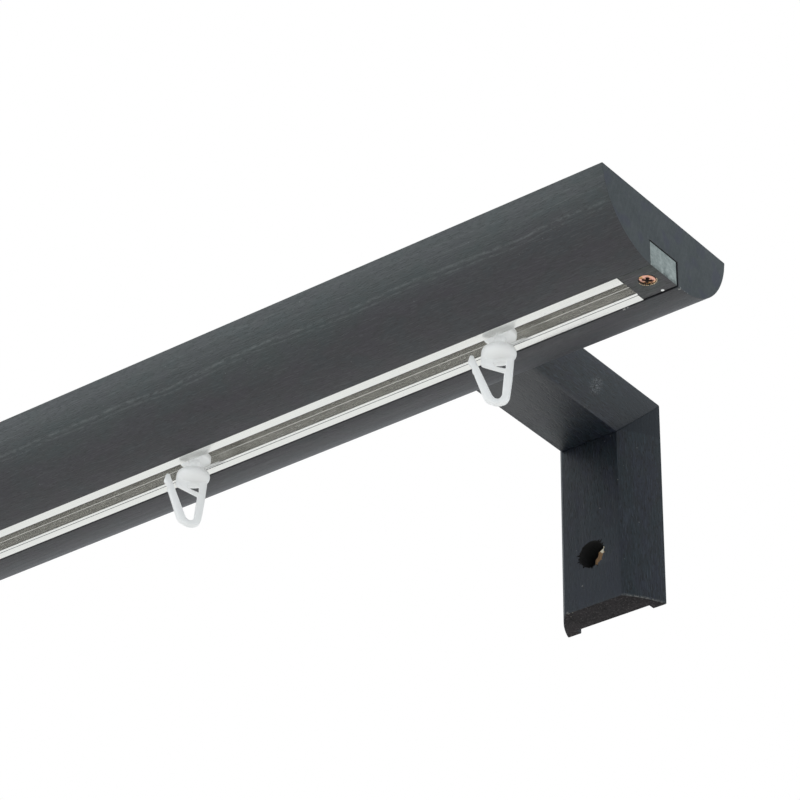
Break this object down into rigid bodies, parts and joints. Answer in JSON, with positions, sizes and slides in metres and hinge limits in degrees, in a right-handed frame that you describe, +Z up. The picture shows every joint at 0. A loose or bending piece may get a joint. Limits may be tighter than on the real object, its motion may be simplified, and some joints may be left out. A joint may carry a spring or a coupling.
{
  "type": "wall mounted curtain track",
  "caption": "dark stained wooden curtain rail with an inset aluminium track, sliding white gliders with swivelling pleat hooks, and two mitred wooden wall brackets",
  "frame": {"origin": "midway between the two wall screw holes, on the floor of the shallow grooves in the backs of the bracket legs; the wall is 2.6 mm further on, at +Y", "axes": "+X runs along the rail, -Y points away from the wall into the room, +Z is up"},
  "size_m": [0.85, 0.1388, 0.0746],
  "materials": {
    "rail_wood": "anthracite stained beech, matt, fine open grain",
    "bracket_wood": "anthracite stained wood, matt, a little bluer and darker than the rail",
    "end_block_wood": "stained like the rail underneath, pale grey sawn end",
    "dowel_wood": "raw turned beech",
    "track_aluminium": "extruded, satin natural anodised",
    "copper_screw": "coppery passivated steel with a cross recess",
    "steel_screw": "zinc plated steel",
    "glider_plastic": "moulded white translucent plastic",
    "hook_plastic": "moulded white translucent plastic"
  },
  "bodies": {
    "root": {"rail": "rail_wood", "track": "track_aluminium", "right_end_block": "end_block_wood", "right_end_block_screw": "copper_screw", "right_bracket_arm": "bracket_wood", "right_bracket_leg": "bracket_wood", "right_bracket_dowels": "dowel_wood", "right_arm_screws": "steel_screw", "left_end_block": "end_block_wood", "left_end_block_screw": "copper_screw", "left_bracket_arm": "bracket_wood", "left_bracket_leg": "bracket_wood", "left_bracket_dowels": "dowel_wood", "left_arm_screws": "steel_screw"},
    "glider_1": {"glider_1": "glider_plastic"},
    "hook_1": {"hook_1": "hook_plastic"},
    "glider_2": {"glider_2": "glider_plastic"},
    "hook_2": {"hook_2": "hook_plastic"},
    "glider_3": {"glider_3": "glider_plastic"},
    "hook_3": {"hook_3": "hook_plastic"},
    "glider_4": {"glider_4": "glider_plastic"},
    "hook_4": {"hook_4": "hook_plastic"},
    "glider_5": {"glider_5": "glider_plastic"},
    "hook_5": {"hook_5": "hook_plastic"},
    "glider_6": {"glider_6": "glider_plastic"},
    "hook_6": {"hook_6": "hook_plastic"},
    "glider_7": {"glider_7": "glider_plastic"},
    "hook_7": {"hook_7": "hook_plastic"}
  },
  "joints": [
    {"name": "glider_1_slide", "type": "slide", "parent": "root", "child": "glider_1", "axis": [1, 0, 0], "range_m": [-0.0498, 0.042]},
    {"name": "hook_1_swivel", "type": "hinge", "parent": "glider_1", "child": "hook_1", "pos_m": [0.3657, -0.10535, 0.01515], "axis": [0, 0, 1], "continuous": true},
    {"name": "glider_2_slide", "type": "slide", "parent": "root", "child": "glider_2", "axis": [1, 0, 0], "range_m": [-0.0498, 0.0498]},
    {"name": "hook_2_swivel", "type": "hinge", "parent": "glider_2", "child": "hook_2", "pos_m": [0.245, -0.10535, 0.01515], "axis": [0, 0, 1], "continuous": true},
    {"name": "glider_3_slide", "type": "slide", "parent": "root", "child": "glider_3", "axis": [1, 0, 0], "range_m": [-0.0498, 0.0498]},
    {"name": "hook_3_swivel", "type": "hinge", "parent": "glider_3", "child": "hook_3", "pos_m": [0.1243, -0.10535, 0.01515], "axis": [0, 0, 1], "continuous": true},
    {"name": "glider_4_slide", "type": "slide", "parent": "root", "child": "glider_4", "axis": [1, 0, 0], "range_m": [-0.0498, 0.0498]},
    {"name": "hook_4_swivel", "type": "hinge", "parent": "glider_4", "child": "hook_4", "pos_m": [0.0036, -0.10535, 0.01515], "axis": [0, 0, 1], "continuous": true},
    {"name": "glider_5_slide", "type": "slide", "parent": "root", "child": "glider_5", "axis": [1, 0, 0], "range_m": [-0.0498, 0.0498]},
    {"name": "hook_5_swivel", "type": "hinge", "parent": "glider_5", "child": "hook_5", "pos_m": [-0.1171, -0.10535, 0.01515], "axis": [0, 0, 1], "continuous": true},
    {"name": "glider_6_slide", "type": "slide", "parent": "root", "child": "glider_6", "axis": [1, 0, 0], "range_m": [-0.0498, 0.0498]},
    {"name": "hook_6_swivel", "type": "hinge", "parent": "glider_6", "child": "hook_6", "pos_m": [-0.2378, -0.10535, 0.01515], "axis": [0, 0, 1], "continuous": true},
    {"name": "glider_7_slide", "type": "slide", "parent": "root", "child": "glider_7", "axis": [1, 0, 0], "range_m": [-0.0492, 0.0498]},
    {"name": "hook_7_swivel", "type": "hinge", "parent": "glider_7", "child": "hook_7", "pos_m": [-0.3585, -0.10535, 0.01515], "axis": [0, 0, 1], "continuous": true}
  ]
}
